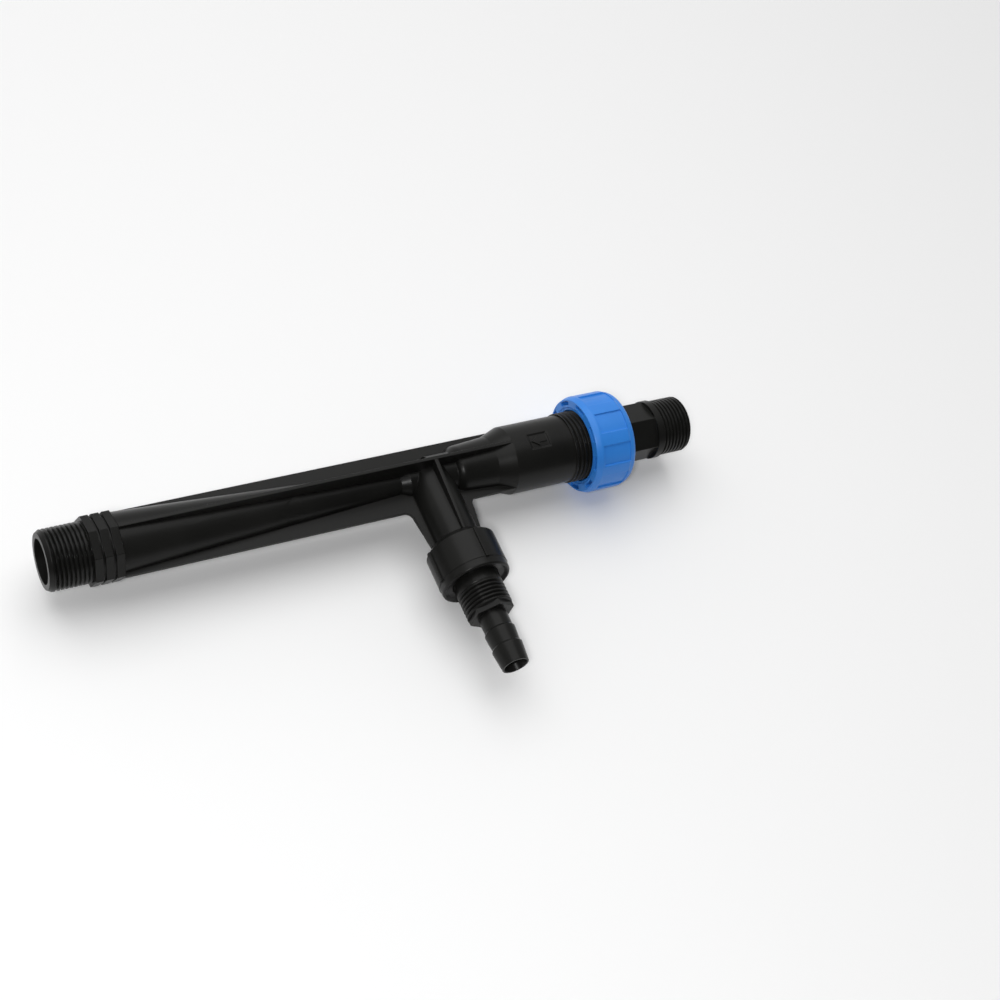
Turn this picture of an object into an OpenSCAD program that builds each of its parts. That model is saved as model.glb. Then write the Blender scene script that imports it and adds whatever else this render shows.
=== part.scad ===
// Venturi injector that draws liquid fertilizer into an irrigation line.
// Water enters at +X through the nipple and the jet nozzle, passes the throat and leaves at -X.
// The suction branch points along -Y. Origin: outlet axis, at the shoulder behind the outlet thread.

/* [Pipe threads] */
// Outside diameter of the outlet and inlet pipe threads
pipe_thread_d = 26.44; // [22:0.02:28]
// Length of the outlet thread
outlet_thread_l = 17.8; // [12:0.1:24]
// Length of the inlet thread
inlet_thread_l = 15; // [10:0.1:22]
// Lead-in chamfer at the end of a pipe thread
thread_chamfer = 1.5; // [0.8:0.1:2]

/* [Outlet collars] */
// Body size: span of the webs and ribs, and barrel diameter
body_d = 30.7; // [29.5:0.1:34]
// Size of the octagonal collars across corners
collar_d = 29.9; // [29.4:0.1:33]
// Number of octagonal collars
collar_count = 3; // [1:1:4]
// Width of one collar
collar_w = 3.4; // [2:0.1:5]
// Width of the groove between two collars
collar_gap = 1; // [0.6:0.1:3]
// Depth of a groove below the collars' flats
collar_groove_depth = 0.8; // [0.3:0.1:1.2]

/* [Diffuser] */
// Length of the outside cone, from the last collar to the throat
diffuser_l = 125.4; // [90:0.1:160]
// Outside diameter of the cone at the collars
diffuser_d = 27.6; // [25:0.1:29]
// Outside diameter of the cone at the throat
throat_d = 12.2; // [11:0.1:15]
// Bore at the outlet
outlet_bore_d = 18.8; // [15:0.1:20]
// Length of the straight bore behind the outlet
outlet_bore_l = 45; // [30:1:60]
// Bore of the throat
throat_bore_d = 7; // [5:0.1:7.6]

/* [Ribs] */
// Thickness of the two webs beside the tube
web_t = 1.8; // [1.2:0.1:3]
// Thickness of the ribs above and below the tube and the branch
rib_t = 1.5; // [1:0.1:2.5]
// Fillet where the body web turns into the branch web
web_fillet = 3; // [1:0.1:5]

/* [Suction branch] */
// Distance from the throat end of the cone to the branch axis
branch_lead = 14.8; // [14.4:0.1:20]
// Outside diameter of the tube between the throat and the branch
hub_d = 16; // [15.5:0.1:17.5]
// Outside diameter of the tube between the branch and the inlet tube
neck_d = 18.4; // [16:0.1:20]
// Outside diameter of the branch
branch_d = 20.6; // [19.6:0.1:23]
// Distance from the main axis to the top of the cup
branch_l = 34.5; // [32:0.1:42]
// Half width of the branch web at the cup
branch_web_half = 11.9; // [11:0.1:13]
// Bore of the suction port into the throat
port_d = 6; // [4:0.1:7]

/* [Suction cup] */
// Outside diameter of the cup
cup_d = 31.3; // [29:0.1:35]
// Length of the cup
cup_l = 21; // [19:0.1:28]
// Height of the sloping top of the cup
cup_hip_l = 3; // [2:0.1:5]
// Length of the lip below the ribs
cup_lip_l = 3.8; // [3:0.1:7]
// Radial step where the lip starts
cup_lip_step = 0.2; // [0.1:0.05:0.3]
// Radial taper of the lip
cup_lip_taper = 0.3; // [0.3:0.1:1.6]
// Height of the four short ribs on the cup
cup_rib_h = 0.8; // [0.4:0.1:1.5]
// Direction of the first short rib, from the top
cup_rib_turn = 8; // [0:1:45]
// Width of the rim round the conical mouth
mouth_rim = 0.9; // [0.5:0.1:2]
// Depth of the conical mouth
mouth_depth = 3.6; // [1.5:0.1:5]

/* [Hose barb] */
// Outside diameter of the barb's screw thread
barb_thread_d = 20.6; // [19:0.02:21.8]
// Thread length that stays outside the cup
barb_thread_out = 13.9; // [8:0.1:18]
// Width of the hexagon
barb_hex_w = 2.6; // [2:0.1:6]
// Size of the hexagon across flats
barb_hex_af = 17.4; // [16:0.1:20]
// Outside diameter of the barb's crests
barb_d = 13.7; // [11.5:0.1:14.5]
// Depth of the barb's teeth
barb_tooth = 0.6; // [0.4:0.05:1]
// Distance from one crest to the next
barb_pitch = 7.7; // [6:0.1:10]
// Plain neck between the hexagon and the first crest
barb_neck_l = 8; // [5:0.1:10]
// Bore of the hose barb
barb_bore_d = 8.4; // [6:0.1:8.8]

/* [Check valve] */
// Diameter of the ball
ball_d = 9; // [8.6:0.1:10]
// Travel of the ball off its seat
ball_travel = 4; // [2:0.1:5]
// Thickness of the rubber seat
seat_t = 2; // [1.5:0.1:3]
// Hole in the rubber seat
seat_hole_d = 7.2; // [6:0.1:7.8]
// Diameter of the spring's wire
spring_wire_d = 0.8; // [0.5:0.05:0.9]
// Number of turns of the spring
spring_turns = 6; // [4:1:7]

/* [Inlet barrel] */
// Distance from the branch axis to the start of the inlet tube
inlet_lead = 15.1; // [13:0.1:18]
// Outside diameter of the inlet tube at its start
inlet_d = 22.8; // [22:0.1:24]
// Radius of the rounded shoulder in front of the inlet tube
inlet_round = 5; // [3:0.1:8]
// Length of the slightly tapered inlet tube
inlet_l = 14.3; // [10:0.1:25]
// Growth of the tube's diameter over that length
inlet_growth = 2; // [0:0.1:3]
// Length of the cone up to the barrel
shoulder_l = 8; // [5:0.1:15]
// Length of the barrel
barrel_l = 29.5; // [22:0.1:45]
// Bore of the barrel
barrel_bore_d = 22.8; // [22:0.1:23]
// Outside diameter of the union thread
union_thread_d = 31.6; // [31.2:0.02:32.4]
// Length of the union thread
union_thread_l = 17.6; // [15:0.1:22]

/* [Union nut] */
// Width of the nut
nut_w = 20.9; // [18:0.1:24]
// Outside diameter of the nut over its grip ribs
nut_d = 44.2; // [43.6:0.1:50]
// Height of the grip ribs
nut_rib_h = 0.8; // [0.3:0.1:1.2]
// Number of grip ribs
nut_rib_count = 9; // [5:1:12]
// Angle that one grip rib covers
nut_rib_angle = 15.5; // [8:0.5:24]
// Direction of the first grip rib, from the top towards the branch
nut_rib_turn = 31; // [0:1:40]
// Diameter of the open mouth in front of the nut's thread
nut_mouth_d = 35.2; // [34:0.1:36]
// Depth of that mouth
nut_mouth_depth = 2.4; // [1:0.1:4]
// Depth of the cored-out pockets
pocket_depth = 5; // [2:0.5:10]
// Angle that one pocket covers
pocket_angle = 20; // [10:0.5:27]
// Turn of the pockets against the grip ribs
pocket_turn = 10; // [0:1:20]
// Thickness of the nut's lip behind the flange
nut_lip_t = 6; // [4.5:0.1:7]

/* [Inlet nipple] */
// Thickness of the flange inside the nut
flange_t = 4.3; // [2.5:0.1:5]
// Length of the hexagon that shows outside the nut
hex_l = 16.8; // [12:0.1:26]
// Size of the hexagon across flats
hex_af = 23; // [22:0.1:23]
// Direction of one hexagon corner, from the top towards the branch side
hex_turn = 11; // [0:1:59]
// Width of the round collar
nipple_collar_w = 3.2; // [2:0.1:6]
// Bore of the nipple
nipple_bore_d = 18.4; // [15:0.1:19]

/* [Jet nozzle] */
// Bore of the jet
jet_d = 4.8; // [3:0.1:5.2]
// Wall of the nozzle at its tip
jet_wall = 1; // [0.8:0.1:1.2]
// Distance from the tip to the branch axis
jet_lead = 6; // [4:0.1:9]
// Length of the nozzle's cylindrical shank
shank_l = 13; // [11:0.1:20]
// Thickness of the nozzle's flange
jet_flange_t = 3; // [2:0.1:4]

/* [Seals and clearances] */
// Cord diameter of the union's O-ring
union_ring_d = 1.56; // [1.2:0.02:1.7]
// Cord diameter of the nozzle's O-ring
nozzle_ring_d = 1.48; // [1.2:0.02:1.7]
// Radial clearance of a thread or a shank in its hole
fit_clearance = 0.1; // [0.05:0.01:0.2]
// Side clearance of an O-ring in its groove
ring_clearance = 0.05; // [0.02:0.01:0.1]
// Gap between the ball and what it rests on
ball_gap = 0.15; // [0.1:0.01:0.3]

/* [Hidden] */
round_fn = 96;
eps = 0.01;

pipe_r = pipe_thread_d / 2;
body_r = body_d / 2;
collar_r = collar_d / 2;
flat_r = collar_r * cos(22.5);
collar_step = collar_w + collar_gap;

// Stations along X, from the outlet shoulder
x_collars_end = collar_count * collar_step - collar_gap;
x_throat = x_collars_end + diffuser_l;
x_branch = x_throat + branch_lead;
hub_step_l = 3.9;
inlet_r = inlet_d / 2;
hub_r = hub_d / 2;
neck_r = neck_d / 2;
x_inlet = x_branch + inlet_lead;
x_shoulder = x_inlet + inlet_l;
x_barrel = x_shoulder + shoulder_l;
x_union = x_barrel + barrel_l;
x_body_end = x_union + union_thread_l;

// Union joint: nipple flange on the body's end face, nut lip behind the flange
union_r = union_thread_d / 2;
x_flange_end = x_body_end + flange_t;
x_nut_end = x_flange_end + nut_lip_t;
x_nut = x_nut_end - nut_w;
nut_bore_r = union_r + fit_clearance;
flange_r = union_r - 0.3;
hex_corner_r = hex_af / 2 / cos(30);
nipple_collar_r = max(hex_corner_r, pipe_r) + 0.15;
nut_hole_r = nipple_collar_r + 3 * fit_clearance;
x_collar = x_nut_end + hex_l;
x_inlet_thread = x_collar + nipple_collar_w;
x_end = x_inlet_thread + inlet_thread_l;

// Nut rim, ribs and pockets
nut_r = nut_d / 2;
nut_base_r = nut_r - nut_rib_h;
nut_bevel = 1;
nut_bevel_l = 2.5;
nut_rim_w = 3.6;
nut_back_rim_w = 3.6;
nut_back_r = nut_r - nut_rib_h * 0.75;
nut_round = 2.8;
nut_mouth_r = nut_mouth_d / 2;
nut_mouth_cone_l = 1.2;
pocket_in_r = nut_mouth_r + 1.1;
pocket_out_r = nut_base_r - 1;

// Nozzle in the barrel
barrel_bore_r = barrel_bore_d / 2;
shank_r = barrel_bore_r - fit_clearance;
jet_flange_r = barrel_bore_r + 1;
x_jet_flange = x_body_end - jet_flange_t;
x_shank = x_jet_flange - shank_l;
x_tip = x_branch + jet_lead;
tip_r = jet_d / 2 + jet_wall;
nozzle_ring_r = nozzle_ring_d / 2;
nozzle_groove_r = barrel_bore_r - nozzle_ring_d - ring_clearance;
nozzle_groove_w = nozzle_ring_d + 2 * ring_clearance;
x_nozzle_ring = x_shank + shank_l / 2;
jet_land_l = 3;

// O-ring groove in the body's end face
union_ring_r = union_ring_d / 2;
union_groove_w = union_ring_d + 2 * ring_clearance;
union_groove_mid_r = union_r - 0.9 - union_groove_w / 2;
union_groove_depth = union_ring_d + ring_clearance;

// Bore of the body: chamber round the nozzle, throat and diffuser
chamber_r = inlet_r - 3.4;
throat_bore_r = throat_bore_d / 2;
x_chamber = x_inlet + 5;
x_mixing = x_branch + 3;
mixing_r = throat_bore_r + 1.1;
x_throat_end = x_branch - 10;
x_throat_start = x_throat + 4;
x_bore_end = outlet_bore_l - outlet_thread_l;

// Suction branch, measured along -Y from the main axis
branch_r = branch_d / 2;
cup_r = cup_d / 2;
cup_end = branch_l + cup_l;
cup_lip = cup_end - cup_lip_l;
cup_hip = branch_l + cup_hip_l;
cup_top_r = branch_r + 1.9;
mouth_floor = cup_end - mouth_depth;
mouth_r = cup_r - cup_lip_taper - mouth_rim;
socket_r = barb_thread_d / 2 + fit_clearance;
socket_end = branch_l + 10;
valve_r = ball_d / 2 + 2;
seat_end = socket_end + seat_t;
barb_end_in = seat_end;
seat_hole_r = seat_hole_d / 2;
ball_r = ball_d / 2;
ball_y = socket_end - sqrt(ball_r * ball_r - seat_hole_r * seat_hole_r) - ball_gap;
spring_r = ball_r - 1.1;
spring_end = ball_y - sqrt(ball_r * ball_r - spring_r * spring_r) - spring_wire_d / 2 - ball_gap;
valve_floor = ball_y - ball_r - ball_travel - (spring_turns + 2) * spring_wire_d;

// Hose barb, measured along -Y from the main axis
barb_thread_r = barb_thread_d / 2;
barb_hex_start = cup_end + barb_thread_out;
barb_hex_end = barb_hex_start + barb_hex_w;
crest_r = barb_d / 2;
root_r = crest_r - barb_tooth;
first_crest = barb_hex_end + barb_neck_l;
crest_count = 2;
crest_step_l = 0.9;
tip_l = barb_pitch + 1.1;
tip_taper = barb_tooth + 0.3;
barb_end = first_crest + (crest_count - 1) * barb_pitch + tip_l;

// Turns children from +Z to +X, and from +Z to -Y at the branch
module along_x(x = 0) {
    translate([x, 0, 0])
        rotate([0, 90, 0])
            children();
}

module along_branch(y = 0) {
    translate([x_branch, -y, 0])
        rotate([90, 0, 0])
            children();
}

// Solid of revolution from a list of [radius, station]
module turned(points) {
    rotate_extrude($fn = round_fn)
        polygon(points);
}

module o_ring(mid_r, cord_r) {
    rotate_extrude($fn = round_fn)
        translate([mid_r, 0])
            circle(cord_r, $fn = 32);
}

// Part of a ring between two radii, of a given angle about its middle direction
module ring_sector(in_r, out_r, angle, length) {
    rotate([0, 0, -angle / 2])
        rotate_extrude(angle = angle, $fn = round_fn)
            translate([in_r, 0])
                square([out_r - in_r, length]);
}

// Male pipe thread as its crest cylinder, with a lead-in chamfer at its far end
module thread_stub(length) {
    turned([[0, 0], [pipe_r, 0], [pipe_r, length - thread_chamfer],
            [pipe_r - thread_chamfer, length], [0, length]]);
}

module outlet_end() {
    mirror([1, 0, 0])
        along_x(-eps)
            thread_stub(outlet_thread_l + eps);
    for (i = [0 : collar_count - 1])
        along_x(i * collar_step)
            cylinder(h = collar_w, r = collar_r, $fn = 8);
    along_x()
        cylinder(h = x_collars_end, r = flat_r - collar_groove_depth, $fn = round_fn);
}

// Outside of the tube: diffuser cone, throat, hub, neck, inlet tube and barrel
module tube_outside() {
    diffuser_r = diffuser_d / 2;
    throat_r = throat_d / 2;
    shoulder_r = inlet_r + inlet_growth / 2;
    along_x()
        turned([[0, x_collars_end - eps], [diffuser_r, x_collars_end - eps], [throat_r, x_throat],
                [hub_r, x_throat + hub_step_l], [hub_r, x_branch], [neck_r, x_branch],
                [neck_r, x_inlet], [0, x_inlet]]);
    along_x(x_inlet)
        rotate_extrude($fn = round_fn)
            intersection() {
                translate([inlet_r - inlet_round, 0])
                    circle(inlet_round, $fn = 64);
                translate([0, -inlet_round])
                    square([inlet_r, inlet_round]);
            }
    along_x()
        turned([[0, x_inlet - eps], [inlet_r, x_inlet - eps], [shoulder_r, x_shoulder], [body_r, x_barrel],
                [body_r, x_union], [union_r, x_union], [union_r, x_body_end], [0, x_body_end]]);
}

// Outline of the webs in the branch plane, with the branch part and its two fillets
module web_outline() {
    top_half = branch_web_half + 2.8;
    slope = (top_half - branch_web_half) / (branch_l + cup_hip_l - body_r);
    lean = sqrt(1 + slope * slope);
    centre = [top_half + web_fillet * (lean - slope), -body_r - web_fillet];
    touch = centre + [-1, slope] * (web_fillet / lean);
    translate([x_collars_end - eps, -body_r])
        square([x_barrel - x_collars_end + eps, body_d]);
    translate([x_branch, 0])
        polygon([[-top_half, 0], [-top_half, -body_r], [-branch_web_half, -cup_hip],
                 [branch_web_half, -cup_hip], [top_half, -body_r], [top_half, 0]]);
    for (side = [-1, 1])
        translate([x_branch, 0])
            mirror([side < 0 ? 1 : 0, 0])
                difference() {
                    polygon([[top_half - eps, -body_r + eps], [centre[0], -body_r + eps], centre,
                             touch, [touch[0] - eps, touch[1]]]);
                    translate(centre)
                        circle(web_fillet, $fn = 48);
                }
}

module webs_and_ribs() {
    translate([0, 0, -web_t / 2])
        linear_extrude(web_t)
            web_outline();
    translate([x_collars_end - eps, -rib_t / 2, -body_r])
        cube([x_barrel - x_collars_end + eps, rib_t, body_d]);
    branch_rib_half = branch_r + 1.7;
    translate([x_branch - rib_t / 2, 0, 0])
        rotate([90, 0, 90])
            linear_extrude(rib_t)
                polygon([[0, -body_r], [0, body_r], [-branch_l - eps, branch_rib_half],
                         [-branch_l - eps, -branch_rib_half]]);
}

// Branch tube and cup, with the four short ribs of the cup
module branch_outside() {
    along_branch()
        turned([[0, 0], [branch_r, 0], [branch_r, branch_l], [cup_top_r, branch_l], [cup_r, cup_hip],
                [cup_r, cup_lip], [cup_r - cup_lip_step, cup_lip], [cup_r - cup_lip_taper, cup_end],
                [0, cup_end]]);
    cup_rib_w = 1.7;
    cup_rib_end = cup_lip + 0.4;
    for (turn = [0 : 90 : 270])
        along_branch(cup_hip)
            rotate([0, 0, turn + 90 - cup_rib_turn])
                translate([cup_r - 2, -cup_rib_w / 2, 0])
                    cube([2 + cup_rib_h, cup_rib_w, cup_rib_end - cup_hip]);
}

module main_bore() {
    along_x()
        turned([[0, -outlet_thread_l - 1], [outlet_bore_d / 2, -outlet_thread_l - 1],
                [outlet_bore_d / 2, x_bore_end], [throat_bore_r, x_throat_start],
                [throat_bore_r, x_throat_end], [mixing_r, x_mixing], [chamber_r, x_chamber],
                [chamber_r + inlet_growth / 2, x_shoulder], [barrel_bore_r, x_barrel + 3],
                [barrel_bore_r, x_jet_flange], [jet_flange_r + fit_clearance, x_jet_flange],
                [jet_flange_r + fit_clearance, x_body_end + 1], [0, x_body_end + 1]]);
    along_x(x_body_end - union_groove_depth)
        difference() {
            cylinder(h = union_groove_depth + 1, r = union_groove_mid_r + union_groove_w / 2, $fn = round_fn);
            cylinder(h = union_groove_depth + 1, r = union_groove_mid_r - union_groove_w / 2, $fn = round_fn);
        }
}

module suction_bore() {
    along_branch()
        turned([[0, 0], [port_d / 2, 0], [port_d / 2, valve_floor], [valve_r, valve_floor],
                [valve_r, socket_end], [socket_r, socket_end], [socket_r, mouth_floor],
                [mouth_r, cup_end], [mouth_r, cup_end + 1], [0, cup_end + 1]]);
}

module injector_body() {
    color("#23231f")
        difference() {
            union() {
                outlet_end();
                tube_outside();
                webs_and_ribs();
                branch_outside();
            }
            main_bore();
            suction_bore();
        }
}

// Outline of the nut: bevelled front, grip rib height, lower back rim with a true arc at its corner
module nut_outline() {
    rotate_extrude($fn = round_fn)
        union() {
            polygon([[0, 0], [nut_r - nut_bevel, 0], [nut_r, nut_bevel_l], [nut_r, nut_w - nut_back_rim_w - 0.5],
                     [nut_back_r, nut_w - nut_back_rim_w + 0.5], [nut_back_r, nut_w - nut_round],
                     [nut_back_r - nut_round, nut_w], [0, nut_w]]);
            translate([nut_back_r - nut_round, nut_w - nut_round])
                circle(nut_round, $fn = 48);
        }
}

module union_nut() {
    turn_step = 360 / nut_rib_count;
    first_rib = 180 + nut_rib_turn;
    color("#3f86dd")
        along_x(x_nut)
            difference() {
                nut_outline();
                // Recesses that leave the grip ribs standing
                for (i = [0 : nut_rib_count - 1])
                    rotate([0, 0, first_rib + (i + 0.5) * turn_step])
                        translate([0, 0, nut_rim_w])
                            ring_sector(nut_base_r, nut_r + 1, turn_step - nut_rib_angle,
                                        nut_w - nut_rim_w - nut_back_rim_w);
                // Cored-out pockets in the front face
                for (i = [0 : nut_rib_count - 1])
                    rotate([0, 0, first_rib + i * turn_step - pocket_turn])
                        translate([0, 0, -1])
                            ring_sector(pocket_in_r, pocket_out_r, pocket_angle, pocket_depth + 1);
                // Open mouth, threaded bore and the hole in the lip
                turned([[0, -1], [nut_mouth_r, -1], [nut_mouth_r, nut_mouth_depth],
                        [nut_bore_r, nut_mouth_depth + nut_mouth_cone_l], [nut_bore_r, nut_w - nut_lip_t],
                        [nut_hole_r, nut_w - nut_lip_t], [nut_hole_r, nut_w + 1], [0, nut_w + 1]]);
            }
}

module inlet_nipple() {
    color("#262622")
        difference() {
            union() {
                along_x(x_body_end)
                    cylinder(h = flange_t, r = flange_r, $fn = round_fn);
                along_x(x_flange_end - eps)
                    rotate([0, 0, 180 + hex_turn])
                        cylinder(h = x_collar - x_flange_end + 2 * eps, r = hex_corner_r, $fn = 6);
                along_x(x_collar)
                    cylinder(h = nipple_collar_w, r = nipple_collar_r, $fn = round_fn);
                along_x(x_inlet_thread - eps)
                    thread_stub(inlet_thread_l + eps);
            }
            along_x(x_body_end - 1)
                cylinder(h = x_end - x_body_end + 2, r = nipple_bore_d / 2, $fn = round_fn);
        }
}

// One barb tooth: a step out from the root, then a taper back towards the hose end
module barb_tooth_ring(at) {
    along_branch(at)
        turned([[0, -crest_step_l], [root_r, -crest_step_l], [crest_r, 0], [root_r, barb_pitch - crest_step_l],
                [0, barb_pitch - crest_step_l]]);
}

module hose_barb() {
    last_crest = first_crest + (crest_count - 1) * barb_pitch;
    color("#20201e")
        difference() {
            union() {
                along_branch(barb_end_in)
                    cylinder(h = barb_hex_start - barb_end_in + eps, r = barb_thread_r, $fn = round_fn);
                along_branch(barb_hex_start)
                    rotate([0, 0, 86])
                        cylinder(h = barb_hex_w, r = barb_hex_af / 2 / cos(30), $fn = 6);
                along_branch(barb_hex_end - eps)
                    cylinder(h = last_crest - barb_hex_end, r = root_r, $fn = round_fn);
                for (i = [0 : crest_count - 2])
                    barb_tooth_ring(first_crest + i * barb_pitch);
                along_branch(last_crest)
                    turned([[0, -crest_step_l], [root_r, -crest_step_l], [crest_r, 0],
                            [crest_r - tip_taper, tip_l], [0, tip_l]]);
            }
            along_branch(barb_end_in - 1)
                cylinder(h = barb_end - barb_end_in + 2, r = barb_bore_d / 2, $fn = round_fn);
        }
}

module jet_nozzle() {
    color("#d8d6cc")
        along_x()
            difference() {
                turned([[0, x_tip], [tip_r, x_tip], [shank_r, x_shank], [shank_r, x_nozzle_ring - nozzle_groove_w / 2],
                        [nozzle_groove_r, x_nozzle_ring - nozzle_groove_w / 2],
                        [nozzle_groove_r, x_nozzle_ring + nozzle_groove_w / 2],
                        [shank_r, x_nozzle_ring + nozzle_groove_w / 2], [shank_r, x_jet_flange],
                        [jet_flange_r, x_jet_flange], [jet_flange_r, x_body_end], [0, x_body_end]]);
                turned([[0, x_tip - 1], [jet_d / 2, x_tip - 1], [jet_d / 2, x_tip + jet_land_l],
                        [min(nipple_bore_d / 2, nozzle_groove_r - 0.9), x_shank],
                        [min(nipple_bore_d / 2, nozzle_groove_r - 0.9), x_body_end + 1], [0, x_body_end + 1]]);
            }
}

module nozzle_o_ring() {
    color("#141414")
        along_x(x_nozzle_ring)
            o_ring(nozzle_groove_r + nozzle_ring_r + ring_clearance / 2, nozzle_ring_r);
}

module union_o_ring() {
    color("#141414")
        along_x(x_body_end - union_ring_r - ring_clearance / 2)
            o_ring(union_groove_mid_r, union_ring_r);
}

module check_ball() {
    color("#c9ccd0")
        along_branch(ball_y)
            sphere(r = ball_r, $fn = 64);
}

// Round wire swept along a helix, with one ring of points for each step
module check_spring() {
    steps_per_turn = 20;
    sides = 8;
    steps = spring_turns * steps_per_turn;
    start = valve_floor + spring_wire_d / 2 + ball_gap;
    rise = spring_end - start;
    points = [for (i = [0 : steps], k = [0 : sides - 1])
        let (turn = 360 * i / steps_per_turn, a = 360 * k / sides, wire = spring_wire_d / 2)
        [(spring_r + wire * cos(a)) * cos(turn), (spring_r + wire * cos(a)) * sin(turn),
         start + rise * i / steps + wire * sin(a)]];
    sides_faces = [for (i = [0 : steps - 1], k = [0 : sides - 1])
        let (n = (k + 1) % sides)
        [i * sides + k, (i + 1) * sides + k, (i + 1) * sides + n, i * sides + n]];
    first_cap = [for (k = [0 : sides - 1]) k];
    last_cap = [for (k = [sides - 1 : -1 : 0]) steps * sides + k];
    color("#b8bcc0")
        along_branch()
            polyhedron(points, concat(sides_faces, [first_cap], [last_cap]), convexity = 6);
}

module check_seat() {
    color("#181818")
        along_branch(socket_end)
            difference() {
                cylinder(h = seat_t, r = socket_r - fit_clearance, $fn = round_fn);
                translate([0, 0, -1])
                    cylinder(h = seat_t + 2, r = seat_hole_r, $fn = round_fn);
            }
}

injector_body();
union_nut();
inlet_nipple();
hose_barb();
jet_nozzle();
nozzle_o_ring();
union_o_ring();
check_ball();
check_spring();
check_seat();
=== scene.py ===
# %% [markdown]
# # A venturi injector for liquid fertilizer
# The part is a black moulded tee with a blue union nut, a threaded nipple and a hose barb.
# The CAD solids are loaded as a fixed frame. Each piece that shows is a working copy of its solid,
# so that its size and place come from the CAD. It then gets what a mould leaves behind:
# threads, soft edges and a satin skin.

# %% Load the frame
import math
from collections import namedtuple

import bmesh
import bpy
from mathutils import Matrix, Vector
from mathutils.bvhtree import BVHTree


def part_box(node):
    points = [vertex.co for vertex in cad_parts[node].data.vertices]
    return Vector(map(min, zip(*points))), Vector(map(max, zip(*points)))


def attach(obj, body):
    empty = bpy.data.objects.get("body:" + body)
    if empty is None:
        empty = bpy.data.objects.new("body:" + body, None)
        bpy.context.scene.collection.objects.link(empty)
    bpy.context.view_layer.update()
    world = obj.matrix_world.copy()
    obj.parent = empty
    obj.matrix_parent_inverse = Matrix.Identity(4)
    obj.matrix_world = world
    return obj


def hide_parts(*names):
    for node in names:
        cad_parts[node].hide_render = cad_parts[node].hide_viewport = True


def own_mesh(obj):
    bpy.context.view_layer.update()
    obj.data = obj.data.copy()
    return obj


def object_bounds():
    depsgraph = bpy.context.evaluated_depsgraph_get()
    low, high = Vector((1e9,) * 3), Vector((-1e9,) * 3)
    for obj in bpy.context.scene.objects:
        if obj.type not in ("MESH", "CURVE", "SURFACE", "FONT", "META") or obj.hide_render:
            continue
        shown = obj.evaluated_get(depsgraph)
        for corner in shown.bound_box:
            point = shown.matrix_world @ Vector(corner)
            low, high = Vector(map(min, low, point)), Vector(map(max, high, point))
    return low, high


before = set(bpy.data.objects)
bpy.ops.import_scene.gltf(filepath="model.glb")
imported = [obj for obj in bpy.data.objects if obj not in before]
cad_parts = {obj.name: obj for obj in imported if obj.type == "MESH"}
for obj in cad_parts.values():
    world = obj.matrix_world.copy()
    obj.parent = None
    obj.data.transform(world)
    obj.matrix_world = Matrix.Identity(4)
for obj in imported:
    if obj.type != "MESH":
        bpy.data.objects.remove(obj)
cad_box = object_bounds()
MM = 0.001
INJECTOR = "injector"
print("CAD nodes:", sorted(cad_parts))

# %% [markdown]
# ## Working copies
# A loaded solid has its points doubled along every sharp edge, and its flat faces are split into
# long triangles. It could be used as it is, but a bevel or a cut needs a welded mesh with whole faces,
# so a copy is welded first.

# %% New pieces and copies of solids
WELD = 0.002 * MM
FLAT_ANGLE = math.radians(0.2)


def new_piece(name, points, faces):
    """A new object from points and faces, in the scene, with its faces turned outwards."""
    mesh = bpy.data.meshes.new(name)
    mesh.from_pydata(points, [], faces)
    shell = bmesh.new()
    shell.from_mesh(mesh)
    bmesh.ops.recalc_face_normals(shell, faces=shell.faces)
    shell.to_mesh(mesh)
    shell.free()
    piece = bpy.data.objects.new(name, mesh)
    bpy.context.scene.collection.objects.link(piece)
    return piece


def working_copy(node, name):
    """A welded copy of a CAD solid, free to be cut and bevelled."""
    solid = bmesh.new()
    solid.from_mesh(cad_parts[node].data)
    bmesh.ops.remove_doubles(solid, verts=solid.verts, dist=WELD)
    bmesh.ops.dissolve_limit(solid, angle_limit=FLAT_ANGLE, verts=solid.verts, edges=solid.edges)
    points = [v.co.copy() for v in solid.verts]
    solid.verts.index_update()
    faces = [[v.index for v in f.verts] for f in solid.faces]
    solid.free()
    return new_piece(name, points, faces)


# %% [markdown]
# ## Rings
# Nearly every form here goes round an axis: threads, lips, cutters. All of them are loops of points that
# follow each other along the axis, out along the outside and back along the inside, which closes into
# a ring. Blender's Screw modifier could turn a section too, but it couldn't change the radius
# from point to point, as a thread needs.

# %% Loft a ring
ROUND_STEPS = 96


def point_round(place, station, radius, k):
    """Point k of a circle about the local X axis, at a station along it."""
    turn = math.tau * k / ROUND_STEPS
    return place @ Vector((station, radius * math.cos(turn), radius * math.sin(turn)))


def loop_round(place, station, radius):
    """All points of that circle."""
    return [point_round(place, station, radius, k) for k in range(ROUND_STEPS)]


def lofted_ring(name, loops):
    """A closed ring: each loop is joined to the next, and the last to the first."""
    count = len(loops[0])
    points = [p for loop in loops for p in loop]
    faces = []
    for i in range(len(loops)):
        j = (i + 1) % len(loops)
        for k in range(count):
            n = (k + 1) % count
            faces.append((i * count + k, j * count + k, j * count + n, i * count + n))
    return new_piece(name, points, faces)


def turned_ring(name, place, section):
    """A ring turned from a section, whose corners are pairs of a station and a radius."""
    return lofted_ring(name, [loop_round(place, station, radius) for station, radius in section])


# %% [markdown]
# ## Cutting and joining
# A Boolean modifier cuts one closed mesh with another or joins the two into one skin.
# Its result is kept and the tool object is thrown away, so that one clean closed mesh is left.

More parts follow.
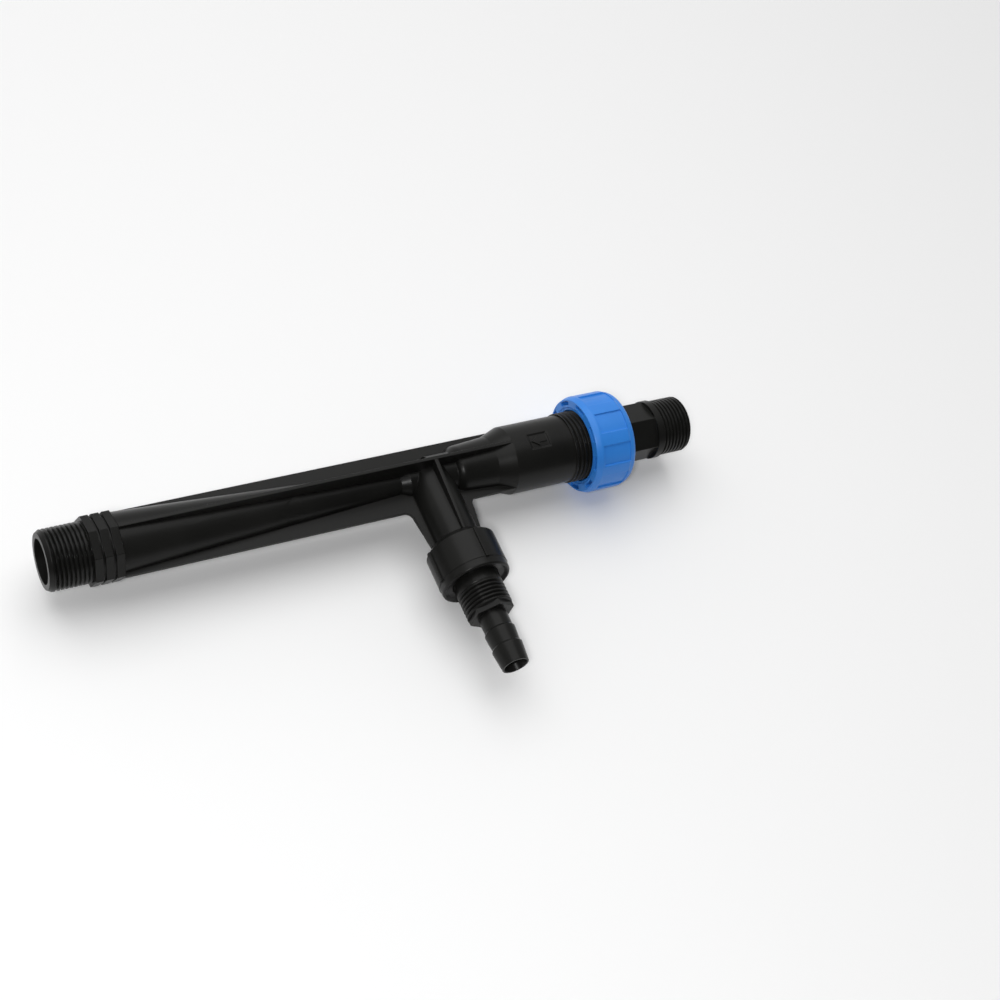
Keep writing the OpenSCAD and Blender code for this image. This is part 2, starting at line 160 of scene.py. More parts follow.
# %% Boolean step
def shape_with(piece, tool, operation):
    """Cuts or joins a piece with a tool object and keeps the result."""
    step = piece.modifiers.new("shape", "BOOLEAN")
    step.operation = operation
    step.solver = "EXACT"
    step.object = tool
    shaped = bpy.data.meshes.new_from_object(piece.evaluated_get(bpy.context.evaluated_depsgraph_get()))
    plain = piece.data
    piece.modifiers.clear()
    shaped.name = plain.name + "_shaped"
    piece.data = shaped
    bpy.data.meshes.remove(plain)
    bpy.data.objects.remove(tool, do_unlink=True)


# %% [markdown]
# ## Screw threads
# The solids carry each male thread as a plain cylinder at its crests. Here that cylinder is turned down
# to the core, and a sleeve with a real helix is joined on. A bump in the material could draw grooves too,
# but they would be missing at the outline. The sleeve's surface is a grid of rings. Where the helix
# passes, the radius dips into a groove with round flanks, one pitch further on for each turn,
# which makes a right-hand thread.

# %% Thread sleeve
STEPS_PER_PITCH = 14
GROOVE_SHARE = 0.4
BITE = 0.4 * MM
# The crests are radii at the start, at the far end and at the end of the chamfer; the core is a radius too.
# The lead is the chamfer's length, plain a stretch without a groove, and groove_at the station of a groove.
Thread = namedtuple("Thread", "pitch depth crest_near crest_far crest_end core lead plain groove_at")


def groove_depth(turns):
    """Depth of the groove, 0 to 1, at a distance in turns from a groove's middle."""
    off = abs(turns - round(turns))
    return 0.5 + 0.5 * math.cos(math.pi * off / GROOVE_SHARE) if off < GROOVE_SHARE else 0.0


def thread_sleeve(place, length, thread):
    """A threaded ring along local X, from a shoulder to a free end with a plain stretch and a chamfer."""
    steps = round(length / thread.pitch * STEPS_PER_PITCH)
    loops = []
    for i in range(steps + 1):
        station = length * i / steps
        to_end = length - station
        crest = thread.crest_near + (thread.crest_far - thread.crest_near) * station / length
        limit = thread.crest_end + (thread.crest_far - thread.crest_end) * min(1, to_end / thread.lead)
        fade = min(1, max(0, (to_end - thread.plain) / thread.pitch + 0.5))
        loop = []
        for k in range(ROUND_STEPS):
            turns = (station - thread.groove_at) / thread.pitch - k / ROUND_STEPS
            dip = thread.depth * fade * groove_depth(turns)
            loop.append(point_round(place, station, min(crest - dip, limit), k))
        loops.append(loop)
    inside = thread.core - BITE
    loops += [loop_round(place, length, inside), loop_round(place, 0, inside)]
    return lofted_ring("thread_sleeve", loops)


# %% [markdown]
# A sleeve that only touched its shoulder would leave a seam, so it starts a small bite behind it.
# The cut starts a hair behind the shoulder as well, so that no two faces lie on each other.
# Where a plain cylinder goes on behind the thread, the cut stops a bite short of the sleeve's end.

# %% Cut a thread
PAST = 0.02 * MM
OUTSIDE = 20 * MM


def cut_thread(piece, place, length, thread, free_end=True):
    """Turns a cylinder of a piece down to the thread's core and joins the sleeve on."""
    end = length + BITE if free_end else length - BITE
    section = [(-PAST, thread.core), (end, thread.core), (end, OUTSIDE), (-PAST, OUTSIDE)]
    shape_with(piece, turned_ring("turning_tool", place, section), "DIFFERENCE")
    bitten = place @ Matrix.Translation((-BITE, 0, 0))
    shape_with(piece, thread_sleeve(bitten, length + BITE, thread), "UNION")
    print(piece.name, "thread, mm:", round(length / MM, 1))


# %% [markdown]
# ## Clean shading
# Most faces of this part were turned on the mould maker's lathe, so at every point their normal lies
# in one plane with the axis. The mesh only has flat facets. Plain smooth shading would average them
# and leave streaks along the cones, so each narrow facet gets the true normal of its turned surface
# at each corner.

# %% Normals of turned faces
FACET_TURN = math.cos(math.radians(20))
TURNED_SLACK = 0.12


def out_from(point, axis):
    """Direction from an axis straight out to a point."""
    base, along = axis
    way = point - base
    return (way - along * way.dot(along)).normalized()


def turning_axis(face, axes):
    """The axis that a facet was turned about, or None for a flat face."""
    for axis in axes:
        out = out_from(face.calc_center_median(), axis)
        if abs(face.normal.dot(axis[1].cross(out))) < TURNED_SLACK:
            if all(out_from(v.co, axis).dot(out) > FACET_TURN for v in face.verts):
                return axis
    return None


def corner_normals(face, axis):
    """The surface normal at each corner of a face."""
    if axis is None:
        return {v: face.normal.copy() for v in face.verts}
    out_share = face.normal.dot(out_from(face.calc_center_median(), axis))
    along = axis[1] * face.normal.dot(axis[1])
    return {v: (out_from(v.co, axis) * out_share + along).normalized() for v in face.verts}


# %% [markdown]
# Corners of neighbouring faces are then blended by face size, unless they meet at a real edge.
# Large faces stay true this way, and only the narrow bevels between them turn.

# %% Shade a finished piece
SMOOTH = math.cos(math.radians(38))


def shade(piece, axes):
    """Gives a piece smooth shading with true normals."""
    form = bmesh.new()
    form.from_mesh(piece.data)
    form.normal_update()
    sizes = {f: f.calc_area() for f in form.faces}
    corners = {f: corner_normals(f, turning_axis(f, axes)) for f in form.faces}
    normals = []
    for face in form.faces:
        for loop in face.loops:
            own = corners[face][loop.vert]
            total = own * sizes[face]
            for other in loop.vert.link_faces:
                if other is not face and corners[other][loop.vert].dot(own) > SMOOTH:
                    total = total + corners[other][loop.vert] * sizes[other]
            normals.append(total.normalized() if total.length > 0 else own)
    form.free()
    piece.data.shade_smooth()
    piece.data.normals_split_custom_set(normals)


# %% [markdown]
# ## Soft edges
# A moulded edge is never knife sharp, and an inner corner has a small fillet. Both are the same step here:
# the creases of a piece are bevelled over a few tenths of a millimetre. A Bevel modifier could do it too,
# but it would also eat into the threads; here the creases are picked by angle, and those
# in a thread's zone stay.

# %% Pick the creases
CREASE_ANGLE = math.radians(11)
LONG_FACET = 40 * MM
ZONE_SLACK = 0.6 * MM


def in_zone(point, zone):
    """True for a point on the outside of a thread."""
    place, length, core = zone
    local = place.inverted() @ point
    on_length = -ZONE_SLACK < local.x < length + ZONE_SLACK
    return on_length and math.hypot(local.y, local.z) > core - ZONE_SLACK


def is_soft(edge, axes):
    """True for a crease, but not where a web runs along the long cone: its facets end there in slivers."""
    if len(edge.link_faces) != 2 or edge.calc_face_angle() < CREASE_ANGLE:
        return False
    turned = [f for f in edge.link_faces if turning_axis(f, axes) is not None]
    longest = max(e.calc_length() for f in edge.link_faces for e in f.edges)
    return edge.is_convex or len(turned) != 1 or longest < LONG_FACET


# %% [markdown]
# At a tight corner a bevel can throw a point far out, so each such point is put back on the old skin.
# Points that then fall together are welded, and edges left without a face are deleted.

# %% Round the creases
CREASE_STEPS = 2
CREASE_PROFILE = 0.6


def bevel(form, edges, width, steps, profile):
    """Rounds some edges of a mesh over a width."""
    bmesh.ops.bevel(form, geom=edges, offset=width, offset_type="OFFSET", segments=steps,
                    profile=profile, affect="EDGES", clamp_overlap=False)


def round_creases(piece, width, axes, threads=()):
    """Bevels the creases of a piece, but not its threads."""
    form = bmesh.new()
    form.from_mesh(piece.data)
    bmesh.ops.remove_doubles(form, verts=form.verts, dist=WELD)
    spared = {v for v in form.verts if any(in_zone(v.co, zone) for zone in threads)}
    creases = [e for e in form.edges if is_soft(e, axes) and not spared.issuperset(e.verts)]
    old_skin = BVHTree.FromBMesh(form)
    bevel(form, creases, width, CREASE_STEPS, CREASE_PROFILE)
    thrown_out = 0
    for point in form.verts:
        nearest, _, _, distance = old_skin.find_nearest(point.co)
        if distance > width / 2:
            point.co = nearest
            thrown_out += 1
    bmesh.ops.remove_doubles(form, verts=form.verts, dist=WELD)
    loose = [e for e in form.edges if not e.link_faces]
    bmesh.ops.delete(form, geom=loose, context="EDGES")
    form.to_mesh(piece.data)
    form.free()
    print(piece.name, "creases rounded:", len(creases), "points put back:", thrown_out)


# %% [markdown]
# ## The black moulding
# The body is one moulding. Its outlet end and its union end are turned down and get their threads first,
# while the faces are still whole. The soft edges come last.
# The outlet is a tapered pipe thread: its crests come in towards the end, which has a plain stretch.

# %% Body: outlet thread
body = working_copy("injector_body", "injector_body_moulding")
body_low, body_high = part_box("injector_body")
OUTLET_THREAD = Thread(pitch=1.814 * MM, depth=1.15 * MM, crest_near=13.22 * MM, crest_far=12.75 * MM,
                       crest_end=11.75 * MM, core=11.6 * MM, lead=1.6 * MM, plain=2.3 * MM,
                       groove_at=13.3 * MM)
outlet_length = -body_low[0]
outlet_way = Matrix.Rotation(math.pi, 4, "Z")
cut_thread(body, outlet_way, outlet_length, OUTLET_THREAD)

# %% [markdown]
# Only the rings of the union thread in front of the nut can be seen, so only they get a helix.
# Inside the nut the sleeve dips under the plain cylinder, which goes on behind it.

# %% Body: union thread
UNION_LENGTH = 17.6 * MM
UNION_SHOWN = 9 * MM
UNION_THREAD = Thread(pitch=2.15 * MM, depth=1.0 * MM, crest_near=15.95 * MM, crest_far=15.95 * MM,
                      crest_end=15.4 * MM, core=14.4 * MM, lead=3 * BITE, plain=0, groove_at=0.9 * MM)
union_way = Matrix.Translation((body_high[0] - UNION_LENGTH, 0, 0))
cut_thread(body, union_way, UNION_SHOWN, UNION_THREAD, free_end=False)

# %% [markdown]
# The solid's cup opens in a plain cone. On the moulding a flat floor lies just inside the lip,
# and the hose fitting's thread comes out of it. A ring laid into the cone makes that floor.

# %% Body: cup floor
FLOOR_BELOW_LIP = 1.2 * MM
FLOOR_BACK = 3.8 * MM
FLOOR_HOLE = 10.42 * MM
FLOOR_RADIUS = 14.2 * MM
barb_low, barb_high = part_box("hose_barb")
branch_x = (barb_low[0] + barb_high[0]) / 2
along_branch = Matrix.Rotation(math.pi / 2, 4, "Z")
lip_way = Matrix.Translation((branch_x, body_low[1], 0)) @ along_branch
floor_section = [(FLOOR_BELOW_LIP, FLOOR_HOLE), (FLOOR_BELOW_LIP, FLOOR_RADIUS),
                 (FLOOR_BACK, FLOOR_RADIUS), (FLOOR_BACK, FLOOR_HOLE)]
shape_with(body, turned_ring("cup_floor", lip_way, floor_section), "UNION")
print("cup floor below the lip, mm:", round(FLOOR_BELOW_LIP / MM, 1))

# %% [markdown]
# A shallow field is sunk into the barrel for the flow arrow, so that the arrow isn't rubbed off.
# A plain box would be deeper in the middle than at its sides. The field is bent round the barrel instead,
# so its cutter is lofted in rows across its width.

# %% Bent blocks
BARREL_RADIUS = 15.35 * MM
MARK_AT = 202.7 * MM
MARK_TURN = math.radians(8)


def bent_row(side, radius, front, back):
    """Two points on a row along the barrel, at a distance round it from the mark's middle."""
    turn = MARK_TURN + side / BARREL_RADIUS
    out = Vector((0, -math.sin(turn), math.cos(turn))) * radius
    return [out + Vector((MARK_AT + front, 0, 0)), out + Vector((MARK_AT + back, 0, 0))]


def bent_block(name, rows):
    """A closed block from rows of four points each: two low ones, then two high ones."""
    points = [p for row in rows for p in row]
    faces = []
    for i in range(1, len(rows)):
        a, b = 4 * (i - 1), 4 * i
        faces += [(a + k, b + k, b + (k + 1) % 4, a + (k + 1) % 4) for k in range(4)]
    last = len(points) - 4
    faces += [(0, 1, 2, 3), (last + 3, last + 2, last + 1, last)]
    return new_piece(name, points, faces)


# %% [markdown]
# The cutter reaches as far above the barrel as it goes below, and all its walls lean out,
# as the walls of a mould must.

# %% Body: field for the arrow
FIELD_HALF_LENGTH = 4.3 * MM
FIELD_HALF_WIDTH = 3.2 * MM
FIELD_DEPTH = 0.6 * MM
FIELD_LEAN = 2 * FIELD_DEPTH
FIELD_ROWS = 25
field_rows = []
for i in range(FIELD_ROWS):
    share = 2 * i / (FIELD_ROWS - 1) - 1
    low_end, high_end = FIELD_HALF_LENGTH, FIELD_HALF_LENGTH + FIELD_LEAN
    low_side, high_side = share * FIELD_HALF_WIDTH, share * (FIELD_HALF_WIDTH + FIELD_LEAN)
    low = bent_row(low_side, BARREL_RADIUS - FIELD_DEPTH, -low_end, low_end)
    high = bent_row(high_side, BARREL_RADIUS + FIELD_DEPTH, high_end, -high_end)
    field_rows.append(low + high)
shape_with(body, bent_block("field_tool", field_rows), "DIFFERENCE")
print("arrow field, mm deep:", round(FIELD_DEPTH / MM, 2))

# %% [markdown]
# The cup's lip is handled every time a hose is fitted, and its outer edge is much rounder than the others.
# That one ring is found by its place: at the very end of the branch, and at the outside.

# %% Cup lip
LIP_ROUND = 0.9 * MM
LIP_LEAST_RADIUS = 15 * MM
LIP_SLACK = 0.01 * MM
LIP_STEPS = 5
LIP_PROFILE = 0.5


def round_lip(piece, axis, lip_y, width):
    """Rounds the outer ring at the end of a cup."""
    form = bmesh.new()
    form.from_mesh(piece.data)
    rim = set()
    for v in form.verts:
        way = v.co - axis[0]
        if abs(v.co.y - lip_y) < LIP_SLACK and math.hypot(way.x, way.z) > LIP_LEAST_RADIUS:
            rim.add(v)
    ring = [e for e in form.edges if rim.issuperset(e.verts)]
    bevel(form, ring, width, LIP_STEPS, LIP_PROFILE)
    form.to_mesh(piece.data)
    form.free()
    print("lip edges rounded:", len(ring))


# %% [markdown]
# Now the body is whole, and its edges are softened. Its round forms turn about two axes,
# that of the long tube and that of the suction branch.

# %% Body: soft edges
EDGE = 0.25 * MM
MAIN_AXIS = (Vector((0, 0, 0)), Vector((1, 0, 0)))
BRANCH_AXIS = (Vector((branch_x, 0, 0)), Vector((0, 1, 0)))
body_threads = [(outlet_way, outlet_length, OUTLET_THREAD.core),
                (union_way, UNION_SHOWN, UNION_THREAD.core)]
round_lip(body, BRANCH_AXIS, body_low[1], LIP_ROUND)
round_creases(body, EDGE, [MAIN_AXIS, BRANCH_AXIS], body_threads)
shade(body, [MAIN_AXIS, BRANCH_AXIS])
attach(body, INJECTOR)
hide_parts("injector_body")
print("body faces:", len(body.data.polygons))

# %% [markdown]
# ## Flow arrow
# A raised arrow in the field shows which way the water goes. It is bent round the barrel like the field:
# a row through the shaft is long, a row near a wing tip is short, and the rows stop a little short
# of the tips. Its top is level with the barrel.

# %% Arrow
ARROW_HALF_LENGTH = 3.9 * MM
ARROW_HALF_WIDTH = 2.7 * MM
SHAFT_HALF_WIDTH = 0.9 * MM
ARROW_SLOPE = 0.3 * MM
ARROW_ROWS = 41
WING_SWEEP = 0.97
WING_SHARE = 0.95
arrow_rows = []
for i in range(ARROW_ROWS):
    side = WING_SHARE * ARROW_HALF_WIDTH * (2 * i / (ARROW_ROWS - 1) - 1)
    front = -ARROW_HALF_LENGTH * (1 - WING_SWEEP * abs(side) / ARROW_HALF_WIDTH)
    back = ARROW_HALF_LENGTH if abs(side) < SHAFT_HALF_WIDTH else 0
    low = bent_row(side, BARREL_RADIUS - 2 * FIELD_DEPTH, front, back)
    high = bent_row(side, BARREL_RADIUS, back - ARROW_SLOPE, front + ARROW_SLOPE)
    arrow_rows.append(low + high)
arrow = bent_block("flow_arrow", arrow_rows)
shade(arrow, [MAIN_AXIS])
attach(arrow, INJECTOR)
print("arrow rows:", ARROW_ROWS)

# %% [markdown]
# ## The blue nut
# The nut is a separate moulding in blue. Its solid already has the grip ribs and the cored-out pockets.
# The solid's mouth is a wide lead-in; on the moulding a thin lip closes it to just round the thread.
# After that the copy only needs the soft edges that catch the light.

# %% Nut
NUT_LIP_FRONT = 0.3 * MM
NUT_LIP_BACK = 2.6 * MM
NUT_LIP_HOLE = 16.4 * MM
NUT_LIP_RADIUS = 17.9 * MM
NUT_EDGE = 0.35 * MM
nut = working_copy("union_nut", "union_nut_moulding")
nut_low, nut_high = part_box("union_nut")
nut_way = Matrix.Translation((nut_low[0], 0, 0))
nut_lip_section = [(NUT_LIP_FRONT, NUT_LIP_HOLE), (NUT_LIP_FRONT, NUT_LIP_RADIUS),
                   (NUT_LIP_BACK, NUT_LIP_RADIUS), (NUT_LIP_BACK, NUT_LIP_HOLE)]
shape_with(nut, turned_ring("nut_lip", nut_way, nut_lip_section), "UNION")
round_creases(nut, NUT_EDGE, [MAIN_AXIS])
shade(nut, [MAIN_AXIS])
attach(nut, INJECTOR)
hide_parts("union_nut")
print("nut across, mm:", round((nut_high[1] - nut_low[1]) / MM, 1))

# %% [markdown]
# ## The inlet nipple
# The nipple is screwed into the supply line. Its hexagon gets soft corners, and its far end
# the same thread as the outlet, but with a shorter chamfer and no plain stretch.

# %% Nipple
INLET_LENGTH = 15 * MM
INLET_THREAD = OUTLET_THREAD._replace(lead=1.0 * MM, plain=0, groove_at=0.9 * MM)
nipple = working_copy("inlet_nipple", "inlet_nipple_moulding")
nipple_low, nipple_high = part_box("inlet_nipple")
inlet_way = Matrix.Translation((nipple_high[0] - INLET_LENGTH, 0, 0))
cut_thread(nipple, inlet_way, INLET_LENGTH, INLET_THREAD)
round_creases(nipple, EDGE, [MAIN_AXIS], [(inlet_way, INLET_LENGTH, INLET_THREAD.core)])
shade(nipple, [MAIN_AXIS])
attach(nipple, INJECTOR)
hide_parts("inlet_nipple")
print("nipple, mm long:", round((nipple_high[0] - nipple_low[0]) / MM, 1))

# %% [markdown]
# ## The hose barb
# The suction fitting screws into the cup. Its thread shows between the cup and the small hexagon,
# so the sleeve starts at the hexagon and runs back into the cup, where it ends in a plain ring.

# %% Barb: thread
BARB_HEX_AT = -69.4 * MM
BARB_THREAD = Thread(pitch=OUTLET_THREAD.pitch, depth=0.95 * MM, crest_near=10.3 * MM, crest_far=10.3 * MM,
                     crest_end=10.3 * MM, core=8.9 * MM, lead=BITE, plain=13.2 * MM, groove_at=1.4 * MM)
barb = working_copy("hose_barb", "hose_barb_moulding")
barb_thread_length = barb_high[1] - BARB_HEX_AT
barb_way = Matrix.Translation((branch_x, BARB_HEX_AT, 0)) @ along_branch
cut_thread(barb, barb_way, barb_thread_length, BARB_THREAD)

# %% [markdown]
# The hose end has a thin wall at its mouth: the bore opens there in a short cone. The cutter is a ring
# whose inside lies in the open bore, so that it cuts nothing else.

# %% Barb: mouth and soft edges
BARB_BORE = 4.15 * MM
MOUTH_RADIUS = 5.3 * MM
MOUTH_DEPTH = 3 * MM
BARB_EDGE = 0.2 * MM
mouth_start = barb_low[1] - BARB_HEX_AT - BITE
mouth_end = barb_low[1] - BARB_HEX_AT + MOUTH_DEPTH
mouth_section = [(mouth_start, MOUTH_RADIUS), (mouth_end, BARB_BORE),
                 (mouth_end, BARB_BORE / 2), (mouth_start, BARB_BORE / 2)]
shape_with(barb, turned_ring("mouth_tool", barb_way, mouth_section), "DIFFERENCE")
round_creases(barb, BARB_EDGE, [BRANCH_AXIS], [(barb_way, barb_thread_length, BARB_THREAD.core)])
shade(barb, [BRANCH_AXIS])
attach(barb, INJECTOR)
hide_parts("hose_barb")

# %% [markdown]
# ## The check valve's spring
# When suction lifts the ball off its seat, the spring behind it gets shorter. The spring is hidden in the
# cup.
# Its copy gets smooth shading, stays with the body and is given a mesh of its own.

# %% Spring
spring = working_copy("check_spring", "check_spring_wire")
spring.data.shade_smooth()
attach(spring, INJECTOR)
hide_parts("check_spring")
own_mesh(spring)

# %% [markdown]
# ## Building blocks for finishes
# No surface of the part is one flat colour or one even gloss. A picture could carry the changes,
# but noise that is worked out in the material needs no file, has a real size and moves with the piece.

# %% Noise, tones and ranges
def new_finish(name):
    """A new material, with its node tree and its shader."""
    finish = bpy.data.materials.new(name)
    finish.use_nodes = True
    return finish, finish.node_tree, finish.node_tree.nodes["Principled BSDF"]


def add_noise(tree, scale, detail):
    """Noise that is fixed to the piece."""
    place = tree.nodes.new("ShaderNodeTexCoord")
    noise = tree.nodes.new("ShaderNodeTexNoise")
    noise.inputs["Scale"].default_value = scale
    noise.inputs["Detail"].default_value = detail
    tree.links.new(place.outputs["Object"], noise.inputs["Vector"])
    return noise.outputs["Fac"]


def add_tones(tree, noise, tones, positions):
    """A colour that moves between two tones with the noise."""
    ramp = tree.nodes.new("ShaderNodeValToRGB")
    for element, tone, position in zip(ramp.color_ramp.elements, tones, positions):
        element.position = position
        element.color = (*tone, 1)
    tree.links.new(noise, ramp.inputs["Fac"])
    return ramp.outputs["Color"]


def add_range(tree, noise, low, high):
    """A number that moves between two limits with the noise."""
    spread = tree.nodes.new("ShaderNodeMapRange")
    spread.inputs["To Min"].default_value = low
    spread.inputs["To Max"].default_value = high
    tree.links.new(noise, spread.inputs["Value"])
    return spread.outputs["Result"]


# %% [markdown]
# ## Moulded plastic
# On a moulding the melt leaves faint clouds, and the mould's skin is a little duller in some places.
# Large soft noise moves the colour and the roughness a little, and a fine grain breaks the highlights.

# %% Plastic finish
CLOUD_SCALE, CLOUD_DETAIL = 45, 4
CLOUD_TONES_AT = (0.32, 0.7)
GLOSS_SPREAD = 0.05
GRAIN_SCALE, GRAIN_DETAIL = 1400, 2
GRAIN_STRENGTH = 0.06
GRAIN_HEIGHT = 0.05 * MM


def moulded_plastic(name, tones, roughness, specular):
    """A satin plastic: clouds between two tones, uneven gloss and a fine grain."""
    finish, tree, shader = new_finish(name)
    shader.inputs["Specular IOR Level"].default_value = specular
    clouds = add_noise(tree, CLOUD_SCALE, CLOUD_DETAIL)
    tree.links.new(add_tones(tree, clouds, tones, CLOUD_TONES_AT), shader.inputs["Base Color"])
    gloss = add_range(tree, clouds, roughness - GLOSS_SPREAD, roughness + GLOSS_SPREAD)
    tree.links.new(gloss, shader.inputs["Roughness"])
    bump = tree.nodes.new("ShaderNodeBump")
    bump.inputs["Strength"].default_value = GRAIN_STRENGTH
    bump.inputs["Distance"].default_value = GRAIN_HEIGHT
    tree.links.new(add_noise(tree, GRAIN_SCALE, GRAIN_DETAIL), bump.inputs["Height"])
    tree.links.new(bump.outputs["Normal"], shader.inputs["Normal"])
    return finish


# %% [markdown]
# The body, the nipple and the barb are the same black. The nut is bright blue. The nozzle inside is
# left in the plastic's own white, and the seals are a dull black rubber.

# %% Plastics and rubber
BLACK_TONES = ((0.0062, 0.0062, 0.0057), (0.0092, 0.0092, 0.0084))
BLUE_TONES = ((0.028, 0.205, 0.66), (0.034, 0.232, 0.72))
WHITE_TONES = ((0.66, 0.65, 0.60), (0.74, 0.73, 0.69))
RUBBER_TONES = ((0.008, 0.008, 0.008), (0.014, 0.014, 0.014))
black_satin = moulded_plastic("black_satin", BLACK_TONES, roughness=0.32, specular=0.16)
blue_satin = moulded_plastic("blue_satin", BLUE_TONES, roughness=0.38, specular=0.32)
white_natural = moulded_plastic("white_natural", WHITE_TONES, roughness=0.45, specular=0.4)
seal_rubber = moulded_plastic("seal_rubber", RUBBER_TONES, roughness=0.7, specular=0.25)
print("moulded finishes:", [m.name for m in (black_satin, blue_satin, white_natural, seal_rubber)])

# %% [markdown]
# ## Steel of the check valve
# The ball and the spring are hidden in the cup, but they are real pieces and get a real finish:
# stainless steel with a faint haze, which dulls it in some places and darkens it a little.

# %% Steel finish
STEEL_TONES = ((0.6, 0.61, 0.62), (0.55, 0.56, 0.57))
STEEL_TONES_AT = (0, 1)
STEEL_ROUGHNESS = (0.18, 0.34)
HAZE_SCALE, HAZE_DETAIL = 400, 2
valve_steel, steel_tree, steel_shader = new_finish("valve_steel")
steel_shader.inputs["Metallic"].default_value = 1
haze = add_noise(steel_tree, HAZE_SCALE, HAZE_DETAIL)
steel_tone = add_tones(steel_tree, haze, STEEL_TONES, STEEL_TONES_AT)
steel_tree.links.new(steel_tone, steel_shader.inputs["Base Color"])
steel_gloss = add_range(steel_tree, haze, *STEEL_ROUGHNESS)
steel_tree.links.new(steel_gloss, steel_shader.inputs["Roughness"])
print("steel nodes:", len(steel_tree.nodes))

# %% [markdown]
# Every piece gets its finish in one place, also the solids that are hidden inside.
# That way a finish can be swapped in one line.

# %% Give every piece its finish
FINISHES = {
    body: black_satin,
    arrow: black_satin,
    nipple: black_satin,
    barb: black_satin,
    nut: blue_satin,
    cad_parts["jet_nozzle"]: white_natural,
    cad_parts["nozzle_o_ring"]: seal_rubber,
    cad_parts["union_o_ring"]: seal_rubber,
    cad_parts["check_seat"]: seal_rubber,
    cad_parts["check_ball"]: valve_steel,
    spring: valve_steel,
}
for piece, finish in FINISHES.items():
    piece.data.materials.clear()
    piece.data.materials.append(finish)
print("pieces with a finish:", len(FINISHES))

# %% [markdown]
# ## Floor and light
# The part lies on a plain pale floor, at the height of its lowest point. The floor is one large sheet
# with a dull paint, so that it takes the part's soft shadow and nothing else.

# %% Floor
FLOOR_HALF = 4
FLOOR_TONE = (0.93, 0.93, 0.93, 1)
FLOOR_ROUGHNESS = 0.9
FLOOR_SPECULAR = 0.1
floor_z = cad_box[0][2]
corner_signs = ((-1, -1), (1, -1), (1, 1), (-1, 1))
floor_corners = [(x * FLOOR_HALF, y * FLOOR_HALF, floor_z) for x, y in corner_signs]
floor = new_piece("floor", floor_corners, [(0, 1, 2, 3)])
floor_paint, _, floor_shader = new_finish("floor_paint")
floor_shader.inputs["Base Color"].default_value = FLOOR_TONE
floor_shader.inputs["Roughness"].default_value = FLOOR_ROUGHNESS
floor_shader.inputs["Specular IOR Level"].default_value = FLOOR_SPECULAR
floor.data.materials.append(floor_paint)
print("floor height, mm:", round(floor_z / MM, 1))

# %% [markdown]
# Black plastic shows its form mostly by what it mirrors. In the photograph it mirrors something bright
# behind it and something dark in front. A picture of a room could stand in for that, but a plain rise
# in brightness from the front (-Y) to the back (+Y) is enough.

# %% Surroundings
FRONT_LEVEL, FRONT_AT = 0.1, -0.5
BACK_LEVEL, BACK_AT = 0.75, 0.7
world = bpy.data.worlds.new("studio")
bpy.context.scene.world = world
world.use_nodes = True
sky_nodes, sky_links = world.node_tree.nodes, world.node_tree.links
sky_way = sky_nodes.new("ShaderNodeTexCoord")
sky_axes = sky_nodes.new("ShaderNodeSeparateXYZ")
sky_level = sky_nodes.new("ShaderNodeMapRange")
sky_level.inputs["From Min"].default_value = FRONT_AT
sky_level.inputs["From Max"].default_value = BACK_AT
sky_level.inputs["To Min"].default_value = FRONT_LEVEL
sky_level.inputs["To Max"].default_value = BACK_LEVEL
sky_links.new(sky_way.outputs["Generated"], sky_axes.inputs["Vector"])
sky_links.new(sky_axes.outputs["Y"], sky_level.inputs["Value"])
sky_links.new(sky_level.outputs["Result"], sky_nodes["Background"].inputs["Strength"])
sky_nodes["Background"].inputs["Color"].default_value = (1, 1, 1, 1)
print("surroundings, front and back:", FRONT_LEVEL, BACK_LEVEL)

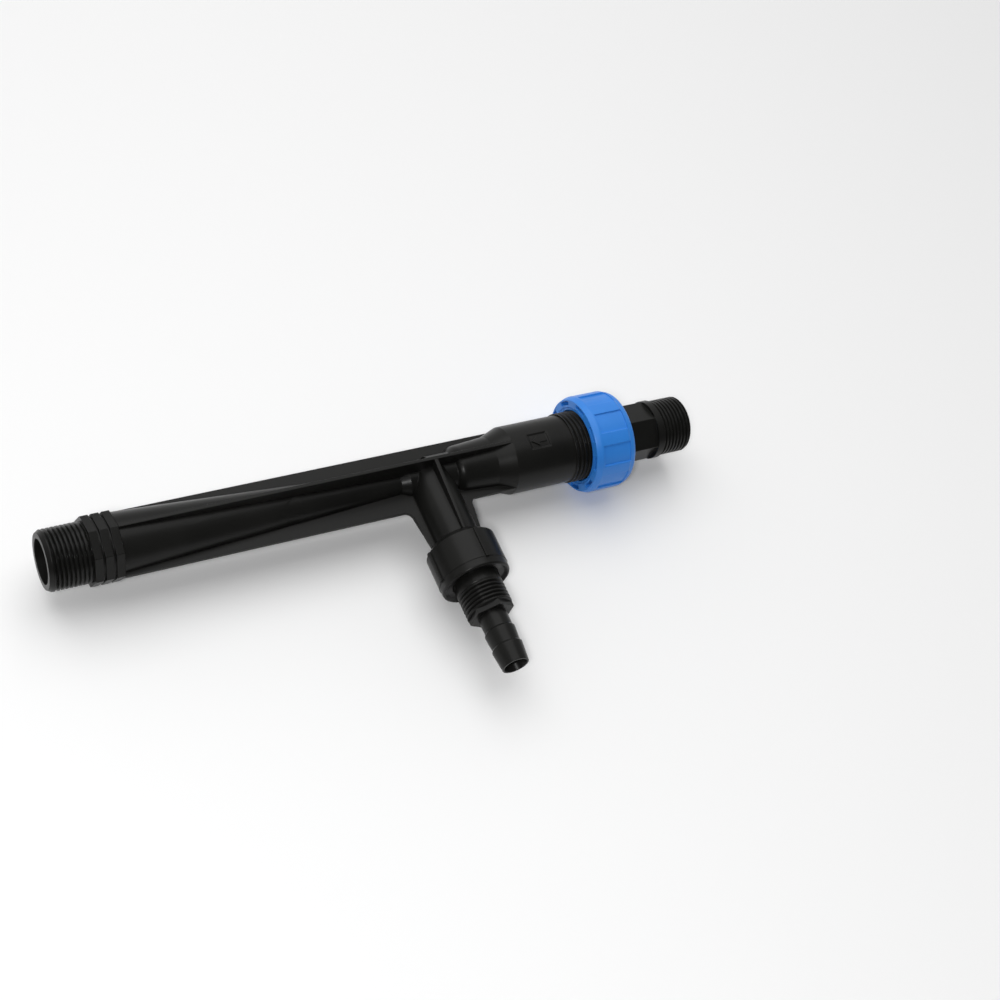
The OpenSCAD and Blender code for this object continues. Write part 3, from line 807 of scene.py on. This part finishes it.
# %% [markdown]
# A wide soft box overhead lights the upper faces, and a small lamp beside the camera puts the highlights
# on the rounded shoulders. Together with the surroundings they light a white sheet on the floor
# to just about white.

# %% Lamps
AIM = Vector((0.13, -0.02, 0))


def soft_box(name, way, distance, size, radiance):
    """A square soft box that faces the part from a distance; its power grows with its area."""
    lamp = bpy.data.lights.new(name, "AREA")
    lamp.size = size
    lamp.energy = radiance * math.pi * size * size
    box = bpy.data.objects.new(name, lamp)
    box.location = AIM + Vector(way).normalized() * distance
    box.rotation_euler = (AIM - box.location).to_track_quat("-Z", "Y").to_euler()
    bpy.context.scene.collection.objects.link(box)
    print(name, "watts:", round(lamp.energy, 2))


soft_box("overhead_box", way=(-0.05, 0.35, 0.93), distance=1.6, size=1.8, radiance=1.5)
soft_box("camera_lamp", way=(-0.43, -0.43, 0.79), distance=1.1, size=0.12, radiance=90)

# %% [markdown]
# ## Camera
# The viewing angle was worked out from the photograph: the round rims and the long axis fix
# where the camera stood. Trying by eye could get close too, but a fitted camera also lets sizes
# be read off the photograph. The three directions are the picture's right, its down and the way ahead,
# in the part's own frame.

# %% Camera
PHOTO_SIZE = 1000
FOCAL_PIXELS = 1814.4
SENSOR = 36
NEAREST = 0.01
CAMERA_PLACE = Vector((-0.16281, -0.36207, 0.62877))
picture_right = Vector((0.8794, -0.3971, 0.2627))
picture_down = Vector((-0.2009, -0.8097, -0.5514))
picture_ahead = Vector((0.4317, 0.4321, -0.7918))
camera_data = bpy.data.cameras.new("photo_camera")
camera_data.sensor_width = SENSOR
camera_data.lens = FOCAL_PIXELS * SENSOR / PHOTO_SIZE
camera_data.clip_start = NEAREST
camera = bpy.data.objects.new("photo_camera", camera_data)
bpy.context.scene.collection.objects.link(camera)
camera_turn = Matrix((picture_right, -picture_down, -picture_ahead)).transposed().to_4x4()
camera.matrix_world = Matrix.Translation(CAMERA_PLACE) @ camera_turn
bpy.context.scene.camera = camera
bpy.context.scene.view_settings.view_transform = "Standard"
print("lens, mm:", round(camera_data.lens, 1))
